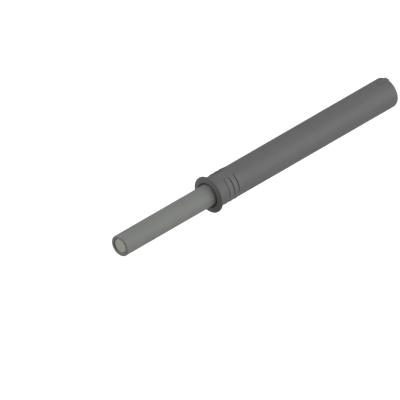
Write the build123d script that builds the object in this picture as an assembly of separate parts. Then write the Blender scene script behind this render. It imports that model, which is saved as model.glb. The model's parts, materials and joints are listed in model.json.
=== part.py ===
from build123d import *
from math import cos, radians, sin
import os

# A push-to-open touch latch with a magnetic tip, shown with its pin pushed out.
# The latch lies along Y. Y = 0 is the back of the collar, which seats on the cabinet's edge.
# The pin points along -Y, and the barrel goes into its bored hole along +Y.
# Angles round the axis are measured from +Z towards +X. Sizes are in millimetres.

# Barrel and collar
BARREL_R = 4.9
BARREL_LENGTH = 75.8
COLLAR_R = 5.95
RIM_THICKNESS = 0.4
DOME_RISE = 0.35
DOME_OUTER_R = 5.6
DOME_MID_SHARE = 0.7
COUNTERSINK_R = 4.15
COUNTERSINK_DEPTH = 0.62
COLLAR_EDGE_CHAMFER = 0.08
COLLAR_ROOT_CHAMFER = 0.2

# Barbs, in three groups round the barrel
BARB_HEIGHT = 0.2
BARB_FIRST = 4.0
BARB_PITCH = 2.0
BARB_COUNT = 3
BARB_RAMP = 1.8
BARB_SPAN = 70
BARB_CENTRES = (60, 180, 300)

# Pin and magnet
PIN_R = 3.45
PIN_REACH = 38.3
TIP_CHAMFER = 0.25
MAGNET_R = 2.3
MAGNET_LENGTH = 4.5
MAGNET_SINK = 0.32
MAGNET_CHAMFER = 0.08
MAGNET_POCKET_R = 2.42
POCKET_LIP = 0.12

# Travel of the plunger, from ejected to fully pressed
TRAVEL = 37.0

# Inside of the housing
GUIDE_R = 3.53
STOP_Y = 12.0
MAIN_BORE_R = 3.9
RING_SEAT_Y = 61.0
REAR_BORE_R = 4.25

# Plunger's guide collars and the keys that stop it turning
GUIDE_COLLARS = ((STOP_Y, 3.0), (STOP_Y + 8.0, 2.0))
GUIDE_COLLAR_R = 3.82
KEY_R = 4.2
KEY_ROOT_DEPTH = 0.3
KEY_WIDTH = 1.0
KEYWAY_R = 4.3
KEYWAY_WIDTH = 1.2
KEY_ANGLES = (90, 270)

# Follower ring and its pins
RING_LENGTH = 4.0
RING_PLAY = 0.05
RING_OUTER_R = 4.17
RING_INNER_R = 3.35
FOLLOWER_R = 0.45
FOLLOWER_INNER_R = 2.7
FOLLOWER_ANGLES = (0, 120, 240)

# Track on the plunger's tail. Depths are measured from the tail's end, towards the tip
TAIL_R = 3.25
TRACK_FLOOR_R = 2.6
LANE_WIDTH = 1.06
LANE_MOUTH_WIDTH = 1.9
LANE_MOUTH_DEPTH = 0.9
LANE_OVERRUN = 0.01
POCKET_OVERLAP = 0.2
BAND_DEPTHS = (5.7, 7.0)
TOOTH_DROP = 1.8
TOOTH_START = -18.0
TOOTH_WALL = 41.3
TOOTH_COUNT = 6
LATCH_START = 20.0
LATCH_WALL = 68.8
LATCH_DROP = 1.44
EXIT_START = 80.0
EXIT_END = FOLLOWER_ANGLES[1]
EXIT_DROP = 1.18
FULL_DEPTH = 6.95

# Spring and its guide rod. The wire has six flats, with the area of a round wire 0.5 thick
TAIL_BORE_R = 2.15
SPRING_SEAT_Y = 12.0
CORE_BORE_R = 1.5
CORE_BORE_LENGTH = 43.0
WIRE_SIDES = 6
WIRE_R = 0.275
SPRING_R = 1.75
SPRING_TURNS = 12
GRINDING = 0.3
ROD_R = 1.35
ROD_FRONT_Y = 27.0
ROD_SOCKET_DEPTH = 2.4
ROD_CHAMFER = 0.3
ROD_WALL = 1.0

# End cap
CAP_RIM = 1.9
CAP_TAPER_LENGTH = 0.6
CAP_TAPER_DEPTH = 0.3
CAP_SLEEVE_R = 3.45
CAP_BASE = 4.2
LUG_R = 4.98
LUG_ROOT_R = 3.65
LUG_WIDTH = 1.9
LUG_LENGTH = 2.0
LUG_PLAY = 0.06
LUG_ANGLES = (0, 180)

# How far cuts run past a face, and how close two sizes must be to count as the same
CUT_OVERRUN = 1.0
SAME = 0.01

# Places worked out from the sizes above
SEAM_Y = BARREL_LENGTH - CAP_RIM
CAP_BASE_Y = BARREL_LENGTH - CAP_BASE
RING_START_Y = RING_SEAT_Y + RING_PLAY
RING_END_Y = RING_START_Y + RING_LENGTH
FOLLOWER_Y = RING_START_Y + RING_LENGTH / 2
TAIL_END_Y = FOLLOWER_Y + FULL_DEPTH - TRAVEL
TRACK_MEAN_R = (TAIL_R + TRACK_FLOOR_R) / 2
KEY_ROOT_R = TAIL_R - KEY_ROOT_DEPTH
BEYOND_R = COLLAR_R + CUT_OVERRUN


def turned(outline):
    """A solid turned about the latch's axis from an outline in radius and Y."""
    return revolve(make_face(outline), axis=Axis.Y)


def tube(outer_r, inner_r, start, end):
    """A plain tube about the axis."""
    corners = ((inner_r, start), (outer_r, start), (outer_r, end), (inner_r, end))
    return turned(Polyline(*corners, close=True))


def spoke(angle, corners):
    """A prism that runs out along one spoke. Its corners are given round the turn and along Y."""
    turn = radians(angle)
    across = Plane(origin=(0, 0, 0), x_dir=(cos(turn), 0, -sin(turn)), z_dir=(sin(turn), 0, cos(turn)))
    return extrude(across * make_face(Polyline(*corners, close=True)), BEYOND_R)


def spoke_block(angle, width, start, end):
    """A spoke with a plain rectangular section."""
    half = width / 2
    return spoke(angle, ((-half, start), (half, start), (half, end), (-half, end)))


def round_edges(part, radius, y):
    """The circular edges of a part that have this radius and lie at this Y."""
    circles = part.edges().filter_by(GeomType.CIRCLE)
    return [edge for edge in circles if abs(edge.radius - radius) < SAME and abs(edge.center().Y - y) < SAME]


def barbs(centre):
    """One group of saw-toothed barbs, steep towards the collar, about one angle."""
    group = Part()
    for number in range(BARB_COUNT):
        start = BARB_FIRST + number * BARB_PITCH
        root = BARREL_R - BARB_HEIGHT
        corners = ((root, start), (BARREL_R + BARB_HEIGHT, start), (BARREL_R, start + BARB_RAMP),
                   (root, start + BARB_RAMP))
        tooth = make_face(Polyline(*corners, close=True))
        group += revolve(tooth, axis=Axis.Y, revolution_arc=BARB_SPAN)
    return Rot(0, centre - BARB_SPAN / 2 - 90, 0) * group


def housing():
    """The moulded barrel with its domed collar, stepped bore, keyways, barbs and lug notches."""
    rim_y = -RIM_THICKNESS
    front_y = rim_y - DOME_RISE
    sink_y = front_y + COUNTERSINK_DEPTH
    dome_mid = ((COUNTERSINK_R + DOME_OUTER_R) / 2, rim_y - DOME_RISE * DOME_MID_SHARE)
    outline = Polyline((GUIDE_R, sink_y), (COUNTERSINK_R, front_y))
    outline += ThreePointArc((COUNTERSINK_R, front_y), dome_mid, (DOME_OUTER_R, rim_y))
    outline += Polyline((DOME_OUTER_R, rim_y), (COLLAR_R, rim_y), (COLLAR_R, 0), (BARREL_R, 0),
                        (BARREL_R, SEAM_Y), (REAR_BORE_R, SEAM_Y), (REAR_BORE_R, RING_SEAT_Y),
                        (MAIN_BORE_R, RING_SEAT_Y), (MAIN_BORE_R, STOP_Y), (GUIDE_R, STOP_Y),
                        (GUIDE_R, sink_y))
    body = turned(outline)
    body = chamfer(round_edges(body, BARREL_R, 0), COLLAR_ROOT_CHAMFER)
    body = chamfer(round_edges(body, COLLAR_R, 0) + round_edges(body, COLLAR_R, rim_y), COLLAR_EDGE_CHAMFER)
    for centre in BARB_CENTRES:
        body += barbs(centre)
    keyway_wall = tube(KEYWAY_R, GUIDE_R, STOP_Y, RING_SEAT_Y)
    for angle in KEY_ANGLES:
        body -= spoke_block(angle, KEYWAY_WIDTH, STOP_Y, RING_SEAT_Y) & keyway_wall
    for angle in LUG_ANGLES:
        body -= spoke_block(angle, LUG_WIDTH, SEAM_Y - LUG_LENGTH, SEAM_Y + CUT_OVERRUN)
    return body


def end_cap():
    """The rear plug: tapered rim, sleeve that keeps the follower ring in, rod socket, two square lugs."""
    sleeve = tube(REAR_BORE_R, CAP_SLEEVE_R, RING_END_Y + RING_PLAY, CAP_BASE_Y)
    base = tube(REAR_BORE_R, ROD_R, CAP_BASE_Y, CAP_BASE_Y + ROD_SOCKET_DEPTH)
    floor = tube(REAR_BORE_R, 0, CAP_BASE_Y + ROD_SOCKET_DEPTH, BARREL_LENGTH)
    wall = ROD_R + ROD_WALL
    rim = turned(Polyline((wall, SEAM_Y), (BARREL_R, SEAM_Y), (BARREL_R, BARREL_LENGTH - CAP_TAPER_LENGTH),
                          (BARREL_R - CAP_TAPER_DEPTH, BARREL_LENGTH), (wall, BARREL_LENGTH), close=True))
    cap = sleeve + base + floor + rim
    lug_start = SEAM_Y - LUG_LENGTH + LUG_PLAY
    lug_wall = tube(LUG_R, LUG_ROOT_R, lug_start, BARREL_LENGTH)
    for angle in LUG_ANGLES:
        cap += spoke_block(angle, LUG_WIDTH - 2 * LUG_PLAY, lug_start, BARREL_LENGTH) & lug_wall
    return cap


def track_corner(angle, middle, depth):
    """A corner of a track pocket, seen along the spoke at the pocket's middle angle."""
    return (TRACK_MEAN_R * sin(radians(angle - middle)), TAIL_END_Y - depth)


def lane(angle):
    """The straight lane by which a follower pin enters and leaves, with a flared mouth."""
    half = LANE_WIDTH / 2
    mouth = LANE_MOUTH_WIDTH / 2
    inner = TAIL_END_Y - sum(BAND_DEPTHS) / 2
    flare = TAIL_END_Y - LANE_MOUTH_DEPTH
    corners = ((-half, inner), (half, inner), (half, flare), (mouth, TAIL_END_Y + LANE_OVERRUN),
               (-mouth, TAIL_END_Y + LANE_OVERRUN), (-half, flare))
    return spoke(angle, corners)


def pocket(period, start, end, level, drop):
    """A saw-toothed pocket off the open band, sloping from one angle to a steep wall at the other."""
    middle = (start + end) / 2
    inside = level - drop * POCKET_OVERLAP
    corners = [track_corner(start, middle, level), track_corner(end, middle, level + drop),
               track_corner(end, middle, inside), track_corner(start, middle, inside)]
    return spoke(period + middle, corners)


def track():
    """The endless track: three lanes, the open band, six indexing teeth, three latch and exit slopes."""
    near, far = BAND_DEPTHS
    cuts = tube(BEYOND_R, TRACK_FLOOR_R, TAIL_END_Y - far, TAIL_END_Y - near)
    for tooth in range(TOOTH_COUNT):
        cuts += pocket(tooth * 360 / TOOTH_COUNT, TOOTH_START, TOOTH_WALL, far, TOOTH_DROP)
    for period in FOLLOWER_ANGLES:
        cuts += lane(period)
        cuts += pocket(period, LATCH_START, LATCH_WALL, near, -LATCH_DROP)
        cuts += pocket(period, EXIT_START, EXIT_END, near, -EXIT_DROP)
    return cuts - tube(TRACK_FLOOR_R, 0, TAIL_END_Y - far - 2 * TOOTH_DROP, TAIL_END_Y + CUT_OVERRUN)


def plunger():
    """The ejector pin in one piece with its guide collars, keys, track, magnet pocket and spring bore."""
    tip_y = -PIN_REACH
    pocket_y = tip_y + MAGNET_SINK + MAGNET_LENGTH
    core_y = SPRING_SEAT_Y - CORE_BORE_LENGTH
    outline = [(0, pocket_y), (MAGNET_POCKET_R, pocket_y), (MAGNET_POCKET_R, tip_y), (PIN_R, tip_y),
               (PIN_R, STOP_Y)]
    for start, length in GUIDE_COLLARS:
        outline += [(outline[-1][0], start), (GUIDE_COLLAR_R, start), (GUIDE_COLLAR_R, start + length),
                    (TAIL_R, start + length)]
    outline.remove((PIN_R, STOP_Y))
    outline += [(TAIL_R, TAIL_END_Y), (TAIL_BORE_R, TAIL_END_Y), (TAIL_BORE_R, SPRING_SEAT_Y),
                (CORE_BORE_R, SPRING_SEAT_Y), (CORE_BORE_R, core_y), (0, core_y)]
    body = turned(Polyline(*outline, close=True))
    body = chamfer(round_edges(body, PIN_R, tip_y), TIP_CHAMFER)
    body = chamfer(round_edges(body, MAGNET_POCKET_R, tip_y), POCKET_LIP)
    for start, length in GUIDE_COLLARS:
        wall = tube(KEY_R, KEY_ROOT_R, start, start + length)
        for angle in KEY_ANGLES:
            body += spoke_block(angle, KEY_WIDTH, start, start + length) & wall
    return body - track()


def magnet():
    """The disc magnet, glued in the plunger's tip a little below its rim."""
    front = -PIN_REACH + MAGNET_SINK
    disc = tube(MAGNET_R, 0, front, front + MAGNET_LENGTH)
    return chamfer(disc.edges().filter_by(GeomType.CIRCLE), MAGNET_CHAMFER)


def compression_spring():
    """The ejector spring, ground flat where it bears on the plunger and on the end cap."""
    length = CAP_BASE_Y - SPRING_SEAT_Y + 2 * GRINDING
    coil = Helix(pitch=length / SPRING_TURNS, height=length, radius=SPRING_R)
    wire = Plane(origin=coil @ 0, z_dir=coil % 0) * RegularPolygon(WIRE_R, WIRE_SIDES)
    spring = Pos(0, SPRING_SEAT_Y - GRINDING, 0) * Rot(-90, 0, 0) * sweep(wire, path=coil, is_frenet=True)
    spring -= tube(SPRING_R + CUT_OVERRUN, 0, SPRING_SEAT_Y - CUT_OVERRUN, SPRING_SEAT_Y)
    return spring - tube(SPRING_R + CUT_OVERRUN, 0, CAP_BASE_Y, CAP_BASE_Y + CUT_OVERRUN)


def guide_rod():
    """The steel rod in the end cap, inside the spring."""
    rod = tube(ROD_R, 0, ROD_FRONT_Y, CAP_BASE_Y + ROD_SOCKET_DEPTH)
    return chamfer(round_edges(rod, ROD_R, ROD_FRONT_Y), ROD_CHAMFER)


def follower_pin(angle):
    """One steel pin, from the ring's outer face to just above the floor of the track."""
    turn = radians(angle)
    across = Plane(origin=(0, FOLLOWER_Y, 0), x_dir=(0, 1, 0), z_dir=(sin(turn), 0, cos(turn)))
    pin = extrude(across * Circle(FOLLOWER_R), BEYOND_R)
    return pin & tube(RING_OUTER_R, FOLLOWER_INNER_R, RING_START_Y, RING_END_Y)


def follower_ring():
    """The ring that turns on its seat and carries the follower pins."""
    ring = tube(RING_OUTER_R, RING_INNER_R, RING_START_Y, RING_END_Y)
    for angle in FOLLOWER_ANGLES:
        ring -= follower_pin(angle)
    return ring


os.makedirs("parts", exist_ok=True)
nodes = {
    "housing": housing(),
    "end_cap": end_cap(),
    "plunger": plunger(),
    "magnet": magnet(),
    "compression_spring": compression_spring(),
    "guide_rod": guide_rod(),
    "follower_ring": follower_ring(),
}
for number, angle in enumerate(FOLLOWER_ANGLES, start=1):
    nodes[f"follower_pin_{number}"] = follower_pin(angle)
for name, shape in nodes.items():
    export_step(shape, f"parts/{name}.step")
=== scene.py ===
import json
from math import cos, pi, radians, sin, sqrt

import bmesh
import bpy
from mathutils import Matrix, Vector


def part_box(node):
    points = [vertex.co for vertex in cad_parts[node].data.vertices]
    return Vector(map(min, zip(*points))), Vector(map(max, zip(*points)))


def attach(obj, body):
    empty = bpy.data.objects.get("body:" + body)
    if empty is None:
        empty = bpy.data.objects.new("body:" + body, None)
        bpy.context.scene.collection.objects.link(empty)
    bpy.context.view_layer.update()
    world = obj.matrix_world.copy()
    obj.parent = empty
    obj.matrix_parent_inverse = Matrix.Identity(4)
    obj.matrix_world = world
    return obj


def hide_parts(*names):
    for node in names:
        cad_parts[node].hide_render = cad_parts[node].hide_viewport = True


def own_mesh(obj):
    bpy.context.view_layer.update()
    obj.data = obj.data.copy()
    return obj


# A push latch with a magnetic tip, its pin out, seen from above and in front of its tip.
# Sizes are in metres. The latch lies along Y, and its pin points along -Y.
MM = 0.001

# Camera, which looks along a diagonal with no perspective
VIEW_AZIMUTH = 45.0
VIEW_ELEVATION = 35.264
VIEW_WIDTH = 120.48 * MM
VIEW_RIGHT_SHIFT = -2.795 * MM
VIEW_UP_SHIFT = -1.681 * MM
CAMERA_DISTANCE = 0.6
CLIP_NEAR = 0.01
CLIP_FAR = 10.0

# Floor below the latch, large enough to fill the view
FLOOR_DROP = 60 * MM
FLOOR_SIZE = 4.0
FLOOR_GREY = 0.45
FLOOR_LIFT = 0.85
FLOOR_GLOSS_SHARE = 0.25

# Light from all round, and soft boxes: name, azimuth, elevation, distance, width and watts
WORLD_STRENGTH = 0.33
LAMPS = (
    ("key", 128, 19, 1.0, 1.1, 10.2),
    ("fill", 300, 45, 1.0, 0.7, 4.7),
    ("front", 340, 20, 1.0, 0.7, 0.9),
)

# Rounded edges, with angles in degrees. Wide ones are at the latch's two ends and on its barbs, and fine
# ones elsewhere. A face whose normal leans round the axis by more than the limit is not a turned one
WELD = 0.001 * MM
FLAT_ANGLE = 1.0
SHARP_ANGLE = 25.0
TURNED_LIMIT = 0.2
FINE_EDGE = 0.035 * MM
WIDE_EDGE = 0.08 * MM
EDGE_STEPS = 4
TIP_ZONE_Y = -38 * MM
REAR_ZONE_Y = 75 * MM
BARB_ZONE_Y = (3.5 * MM, 10 * MM)

# Round spring wire, on the same coil as the solid spring and ground off as far at its ends
SPRING_R = 1.75 * MM
WIRE_R = 0.25 * MM
SPRING_TURNS = 12
GRINDING = 0.3 * MM
STEPS_PER_TURN = 40
WIRE_SIDES = 12

# Plastic: features to the metre, how far they move tone and roughness, and the height of the grain
CLOUDS = 180
DRAW_MARKS = (2600.0, 60.0, 2600.0)
PLASTIC_GRAIN = 9000
SCUFF_PATCHES = (700.0, 2400.0, 700.0)
SCUFF_START, SCUFF_FULL = 0.66, 0.72
CLOUD_TONE = 0.03
MARK_TONE = 0.02
GRAIN_ROUGHNESS = 0.06
SCUFF_POLISH = 0.08
MARK_SHARE = 0.3
PLASTIC_RELIEF = 0.03 * MM

# Metal: the same, with hair scratches in two directions
METAL_CLOUDS = 900
NICKEL_GRAIN = 7000
STEEL_GRAIN = 5000
HAIRS = ((14000.0, 900.0, 1500.0), (1800.0, 900.0, 12000.0))
HAIR_START, HAIR_FULL = 0.62, 0.70
DARKEST, LIGHTEST = 0.92, 1.06
SMOOTHER, ROUGHER = 0.06, 0.08
METAL_BUMP = 0.3
METAL_RELIEF = 0.008 * MM

# The span of a noise that is used. It is held at the ends
NOISE_SPAN = (0.3, 0.7)

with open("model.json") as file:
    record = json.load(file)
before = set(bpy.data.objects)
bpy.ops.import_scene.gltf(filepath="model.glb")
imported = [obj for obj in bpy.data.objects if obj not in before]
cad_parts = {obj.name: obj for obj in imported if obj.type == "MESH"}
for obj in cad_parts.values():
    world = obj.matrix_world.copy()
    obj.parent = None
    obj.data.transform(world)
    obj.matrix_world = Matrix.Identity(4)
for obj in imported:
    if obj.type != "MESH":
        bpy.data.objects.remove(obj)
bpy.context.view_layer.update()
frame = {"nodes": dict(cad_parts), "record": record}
nodes = frame["nodes"]
body_of = {node: body for body, group in frame["record"]["behaviour"]["bodies"].items() for node in group}


def direction(azimuth, elevation):
    """The unit vector from the latch towards a viewer or lamp at these angles, in degrees."""
    a, e = radians(azimuth), radians(elevation)
    return Vector((sin(a) * cos(e), -cos(a) * cos(e), sin(e)))


def add_camera():
    """The camera at the photograph's angle, with parallel rays."""
    back = direction(VIEW_AZIMUTH, VIEW_ELEVATION)
    right = Vector((0, 0, 1)).cross(back).normalized()
    up = back.cross(right)
    data = bpy.data.cameras.new("camera")
    data.type = "ORTHO"
    data.ortho_scale = VIEW_WIDTH
    data.clip_start = CLIP_NEAR
    data.clip_end = CLIP_FAR
    camera = bpy.data.objects.new("camera", data)
    camera.rotation_mode = "QUATERNION"
    camera.rotation_quaternion = (-back).to_track_quat("-Z", "Y")
    camera.location = right * VIEW_RIGHT_SHIFT + up * VIEW_UP_SHIFT + back * CAMERA_DISTANCE
    bpy.context.scene.collection.objects.link(camera)
    bpy.context.scene.camera = camera


def new_material(name):
    """An empty node material, its tree, and its output node."""
    material = bpy.data.materials.new(name)
    material.use_nodes = True
    tree = material.node_tree
    tree.nodes.clear()
    return material, tree, tree.nodes.new("ShaderNodeOutputMaterial")


def add(tree, kind, settings=None, **sockets):
    """A node with its settings and sockets. A socket's value is a number, a colour or another socket."""
    made = tree.nodes.new(kind)
    for key, value in (settings or {}).items():
        setattr(made, key, value)
    for key, value in sockets.items():
        socket = made.inputs[int(key[1:])] if key[0] == "_" else made.inputs[key.replace("_", " ")]
        if isinstance(value, bpy.types.NodeSocket):
            tree.links.new(value, socket)
        else:
            socket.default_value = value
    return made


def math_node(tree, operation, first, second=0.0):
    """The result of one piece of arithmetic on numbers or sockets."""
    return add(tree, "ShaderNodeMath", {"operation": operation}, _0=first, _1=second).outputs[0]


def noise(tree, place, scale, detail=2.0, roughness=0.5):
    """Noise from 0 to 1 at a place, with this many features to the metre."""
    made = add(tree, "ShaderNodeTexNoise", Vector=place, Scale=scale, Detail=detail, Roughness=roughness)
    return made.outputs[0]


def stretched(tree, place, stretch):
    """A place with each axis scaled, so that noise on it runs in streaks."""
    made = add(tree, "ShaderNodeVectorMath", {"operation": "MULTIPLY"}, _0=place, _1=stretch)
    return made.outputs[0]


def ranged(tree, value, low, high, new_low, new_high):
    """A value moved from one range to another and held there."""
    made = add(tree, "ShaderNodeMapRange", None, Value=value, From_Min=low, From_Max=high,
               To_Min=new_low, To_Max=new_high)
    return made.outputs[0]


def plastic(name, colour, roughness, specular):
    """Moulded plastic with spark-eroded grain, faint draw marks, slow changes of tone and light scuffs."""
    material, tree, output = new_material(name)
    place = add(tree, "ShaderNodeTexCoord").outputs["Object"]
    clouds = noise(tree, place, CLOUDS, 3.0)
    streaks = noise(tree, stretched(tree, place, DRAW_MARKS), 1.0, 2.0)
    tone = math_node(tree, "ADD", ranged(tree, clouds, *NOISE_SPAN, -CLOUD_TONE, CLOUD_TONE),
                     ranged(tree, streaks, *NOISE_SPAN, -MARK_TONE, MARK_TONE))
    tone = math_node(tree, "ADD", tone, 1.0)
    tinted = add(tree, "ShaderNodeVectorMath", {"operation": "SCALE"}, _0=colour, Scale=tone).outputs[0]
    grain = noise(tree, place, PLASTIC_GRAIN, 3.0, 0.6)
    patches = noise(tree, stretched(tree, place, SCUFF_PATCHES), 1.0, 4.0)
    scuffs = ranged(tree, patches, SCUFF_START, SCUFF_FULL, 0.0, 1.0)
    rough = ranged(tree, grain, *NOISE_SPAN, roughness - GRAIN_ROUGHNESS, roughness + GRAIN_ROUGHNESS)
    rough = math_node(tree, "SUBTRACT", rough, math_node(tree, "MULTIPLY", scuffs, SCUFF_POLISH))
    relief = math_node(tree, "ADD", grain, math_node(tree, "MULTIPLY", streaks, MARK_SHARE))
    bump = add(tree, "ShaderNodeBump", None, Strength=1.0, Distance=PLASTIC_RELIEF, Height=relief)
    shader = add(tree, "ShaderNodeBsdfPrincipled", None, Base_Color=tinted, Roughness=rough,
                 Normal=bump.outputs[0])
    shader.inputs["Specular IOR Level"].default_value = specular
    tree.links.new(shader.outputs[0], output.inputs[0])
    return material


def metal(name, colour, roughness, grain_scale):
    """Plated or drawn metal with a fine random grain and hair scratches in two directions."""
    material, tree, output = new_material(name)
    place = add(tree, "ShaderNodeTexCoord").outputs["Object"]
    grain = noise(tree, place, grain_scale, 3.0, 0.6)
    clouds = noise(tree, place, METAL_CLOUDS, 2.0)
    tone = ranged(tree, clouds, *NOISE_SPAN, DARKEST, LIGHTEST)
    tinted = add(tree, "ShaderNodeVectorMath", {"operation": "SCALE"}, _0=colour, Scale=tone).outputs[0]
    relief = grain
    for stretch in HAIRS:
        hairs = noise(tree, stretched(tree, place, stretch), 1.0, 2.0)
        relief = math_node(tree, "SUBTRACT", relief, ranged(tree, hairs, HAIR_START, HAIR_FULL, 0.0, 1.0))
    rough = ranged(tree, grain, *NOISE_SPAN, roughness - SMOOTHER, roughness + ROUGHER)
    bump = add(tree, "ShaderNodeBump", None, Strength=METAL_BUMP, Distance=METAL_RELIEF, Height=relief)
    shader = add(tree, "ShaderNodeBsdfPrincipled", None, Base_Color=tinted, Roughness=rough,
                 Normal=bump.outputs[0])
    shader.inputs["Metallic"].default_value = 1.0
    tree.links.new(shader.outputs[0], output.inputs[0])
    return material


def sharp_edges(shape, wide):
    """A mesh's sharp edges at its ends and on its barbs, or all others. The barbs' own ends stay sharp."""
    chosen = []
    for edge in shape.edges:
        first, second = (corner.co.y for corner in edge.verts)
        middle = (first + second) / 2
        on_barb = BARB_ZONE_Y[0] < middle < BARB_ZONE_Y[1]
        in_zone = on_barb or middle < TIP_ZONE_Y or middle > REAR_ZONE_Y
        barb_end = on_barb and abs(first - second) > edge.calc_length() / 2
        if len(edge.link_faces) == 2 and in_zone == wide and not barb_end:
            if edge.calc_face_angle() > radians(SHARP_ANGLE):
                chosen.append(edge)
    return chosen


def new_piece(name, shape, materials, node):
    """A smooth-shaded piece made from a bmesh, which rides with the CAD node that it stands for."""
    data = bpy.data.meshes.new(name)
    shape.to_mesh(data)
    shape.free()
    data.shade_smooth()
    for material in materials:
        data.materials.append(material)
    piece = bpy.data.objects.new(name, data)
    bpy.context.scene.collection.objects.link(piece)
    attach(piece, body_of[node])
    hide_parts(node)
    return piece


def turned_normal(face, corner):
    """The exact normal at a corner of a face, which is smooth where the face is turned about the axis.

    A corner on the axis itself has no outward direction, and keeps its face's normal."""
    out = Vector((corner.x, 0, corner.z)).normalized()
    around = Vector((face.center.z, 0, -face.center.x)).normalized()
    if abs(face.normal.dot(around)) > TURNED_LIMIT or out.length == 0:
        return face.normal.copy()
    slope = max(-1.0, min(1.0, face.normal.y))
    side = 1 if face.normal.dot(out) > 0 else -1
    return out * side * sqrt(1 - slope ** 2) + Vector((0, slope, 0))


def set_turned_normals(data):
    """Gives the faces their exact normals, and lets the rounded edges run from one to the next."""
    normals = [None] * len(data.loops)
    own = {}
    for face in data.polygons:
        for loop in face.loop_indices if face.material_index == 0 else ():
            corner = data.loops[loop].vertex_index
            normals[loop] = turned_normal(face, data.vertices[corner].co)
            own[corner] = own.get(corner, Vector()) + normals[loop]
    for face in data.polygons:
        for loop in face.loop_indices if face.material_index == 1 else ():
            corner = data.loops[loop].vertex_index
            normal = own[corner].normalized() if corner in own else data.vertices[corner].normal.copy()
            normals[loop] = normal
    data.normals_split_custom_set(normals)


def rounded(node, surface, edge, turned=True):
    """A CAD node's shape with its sharp edges rounded, in one material with another on the edges."""
    shape = bmesh.new()
    shape.from_mesh(nodes[node].data)
    bmesh.ops.remove_doubles(shape, verts=shape.verts, dist=WELD)
    bmesh.ops.dissolve_limit(shape, angle_limit=radians(FLAT_ANGLE), verts=shape.verts, edges=shape.edges)
    for face in shape.faces:
        face.material_index = 0
    for wide, width in ((True, WIDE_EDGE), (False, FINE_EDGE)):
        edges = sharp_edges(shape, wide)
        if edges:
            bmesh.ops.bevel(shape, geom=edges, offset=width, offset_type="OFFSET", segments=EDGE_STEPS,
                            profile=0.5, affect="EDGES", clamp_overlap=True, material=1)
    piece = new_piece(node + "_rounded", shape, (surface, edge), node)
    if turned:
        set_turned_normals(piece.data)
    else:
        piece.modifiers.new("even normals", "WEIGHTED_NORMAL")


def coiled_spring(steel):
    """The ejector spring in round wire, ground flat at both ends."""
    low, high = (corner[1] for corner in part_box("compression_spring"))
    pitch = (high - low + 2 * GRINDING) / SPRING_TURNS
    shape = bmesh.new()
    last = None
    for step in range(SPRING_TURNS * STEPS_PER_TURN + 1):
        turn = 2 * pi * step / STEPS_PER_TURN
        out = Vector((cos(turn), 0, -sin(turn)))
        along = Vector((-sin(turn), pitch / (2 * pi * SPRING_R), -cos(turn))).normalized()
        centre = out * SPRING_R + Vector((0, low - GRINDING + pitch * step / STEPS_PER_TURN, 0))
        side = along.cross(out)
        ring = []
        for number in range(WIRE_SIDES):
            around = 2 * pi * number / WIRE_SIDES
            ring.append(shape.verts.new(centre + (out * cos(around) + side * sin(around)) * WIRE_R))
        for number in range(WIRE_SIDES if last else 0):
            following = (number + 1) % WIRE_SIDES
            shape.faces.new((last[number], last[following], ring[following], ring[number]))
        last = ring
    for level, outward in ((low, -1), (high, 1)):
        everything = shape.verts[:] + shape.edges[:] + shape.faces[:]
        cut = bmesh.ops.bisect_plane(shape, geom=everything, plane_co=(0, level, 0),
                                     plane_no=(0, outward, 0), clear_outer=True)["geom_cut"]
        rim = [part for part in cut if isinstance(part, bmesh.types.BMEdge)]
        bmesh.ops.edgeloop_fill(shape, edges=rim)
    bmesh.ops.recalc_face_normals(shape, faces=shape.faces)
    spring = new_piece("coiled_spring", shape, (steel,), "compression_spring")
    spring.modifiers.new("even normals", "WEIGHTED_NORMAL")
    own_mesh(spring)


def add_floor():
    """A plain pale floor, lifted to white for the camera but still taking the latch's shadow."""
    half = FLOOR_SIZE / 2
    data = bpy.data.meshes.new("floor")
    corners = [(x, y, -FLOOR_DROP) for x, y in ((-half, -half), (half, -half), (half, half), (-half, half))]
    data.from_pydata(corners, [], [(0, 1, 2, 3)])
    floor = bpy.data.objects.new("floor", data)
    bpy.context.scene.collection.objects.link(floor)
    material, tree, output = new_material("floor")
    rays = add(tree, "ShaderNodeLightPath").outputs
    seen = math_node(tree, "MAXIMUM", rays["Is Camera Ray"], rays["Is Transmission Ray"])
    gloss = math_node(tree, "MULTIPLY", rays["Is Glossy Ray"], FLOOR_GLOSS_SHARE)
    seen = math_node(tree, "MAXIMUM", seen, gloss)
    lift = add(tree, "ShaderNodeEmission", None, Color=(1, 1, 1, 1),
               Strength=math_node(tree, "MULTIPLY", seen, FLOOR_LIFT))
    matt = add(tree, "ShaderNodeBsdfDiffuse", None, Color=(FLOOR_GREY, FLOOR_GREY, FLOOR_GREY, 1))
    both = add(tree, "ShaderNodeAddShader", None, _0=lift.outputs[0], _1=matt.outputs[0])
    tree.links.new(both.outputs[0], output.inputs[0])
    data.materials.append(material)


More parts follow.
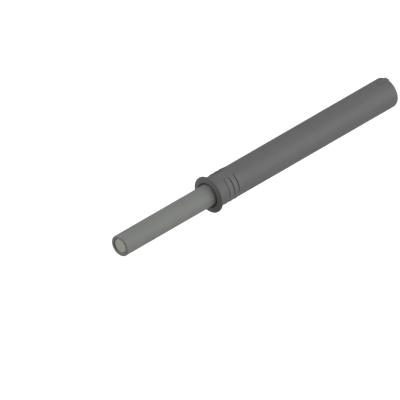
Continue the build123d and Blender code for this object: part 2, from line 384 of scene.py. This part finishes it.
def add_world():
    """Even light from all round, white where it is seen directly or through something clear."""
    world = bpy.data.worlds.new("world")
    bpy.context.scene.world = world
    world.use_nodes = True
    tree = world.node_tree
    tree.nodes.clear()
    rays = add(tree, "ShaderNodeLightPath").outputs
    seen = math_node(tree, "MAXIMUM", rays["Is Camera Ray"], rays["Is Transmission Ray"])
    strength = ranged(tree, seen, 0.0, 1.0, WORLD_STRENGTH, 1.0)
    background = add(tree, "ShaderNodeBackground", None, Color=(1, 1, 1, 1), Strength=strength)
    output = tree.nodes.new("ShaderNodeOutputWorld")
    tree.links.new(background.outputs[0], output.inputs[0])


def add_lamp(name, azimuth, elevation, distance, size, watts):
    """A square soft box that faces the latch."""
    data = bpy.data.lights.new(name, "AREA")
    data.size = size
    data.energy = watts
    lamp = bpy.data.objects.new(name, data)
    back = direction(azimuth, elevation)
    lamp.location = back * distance
    lamp.rotation_mode = "QUATERNION"
    lamp.rotation_quaternion = (-back).to_track_quat("-Z", "Y")
    bpy.context.scene.collection.objects.link(lamp)


add_camera()
add_floor()
add_world()
for lamp in LAMPS:
    add_lamp(*lamp)

# Plastics have a colour, roughness and gloss, and metals a colour, roughness and grain. Worn edges are a
# little lighter and smoother. On the barrel the lighter edge colour is partly wear and partly a painted
# highlight, a light line along its rounded edges that is widest at the latch's two ends
barrel_plastic = plastic("barrel plastic", (0.135, 0.135, 0.135), 0.55, 0.3)
# Lighter barrel edges: partly wear, partly a painted highlight
barrel_worn_highlight_edge = plastic("barrel plastic worn highlight edge", (0.150, 0.150, 0.150), 0.45, 0.35)
pin_plastic = plastic("pin plastic", (0.208, 0.215, 0.200), 0.55, 0.3)
pin_edge = plastic("pin plastic edge", (0.235, 0.242, 0.228), 0.45, 0.35)
ring_plastic = plastic("ring plastic", (0.55, 0.53, 0.48), 0.4, 0.5)
ring_edge = plastic("ring plastic edge", (0.60, 0.58, 0.53), 0.35, 0.5)
nickel = metal("nickel", (0.475, 0.459, 0.414), 0.38, NICKEL_GRAIN)
nickel_edge = metal("nickel edge", (0.52, 0.50, 0.46), 0.30, NICKEL_GRAIN)
steel = metal("steel", (0.52, 0.52, 0.51), 0.3, STEEL_GRAIN)
steel_edge = metal("steel edge", (0.60, 0.60, 0.59), 0.25, STEEL_GRAIN)

for node in ("housing", "end_cap"):
    rounded(node, barrel_plastic, barrel_worn_highlight_edge)
rounded("plunger", pin_plastic, pin_edge)
rounded("magnet", nickel, nickel_edge)
rounded("follower_ring", ring_plastic, ring_edge)
rounded("guide_rod", steel, steel_edge)
for node in ("follower_pin_1", "follower_pin_2", "follower_pin_3"):
    rounded(node, steel, steel_edge, turned=False)
coiled_spring(steel)

bpy.context.scene.view_settings.view_transform = "Standard"
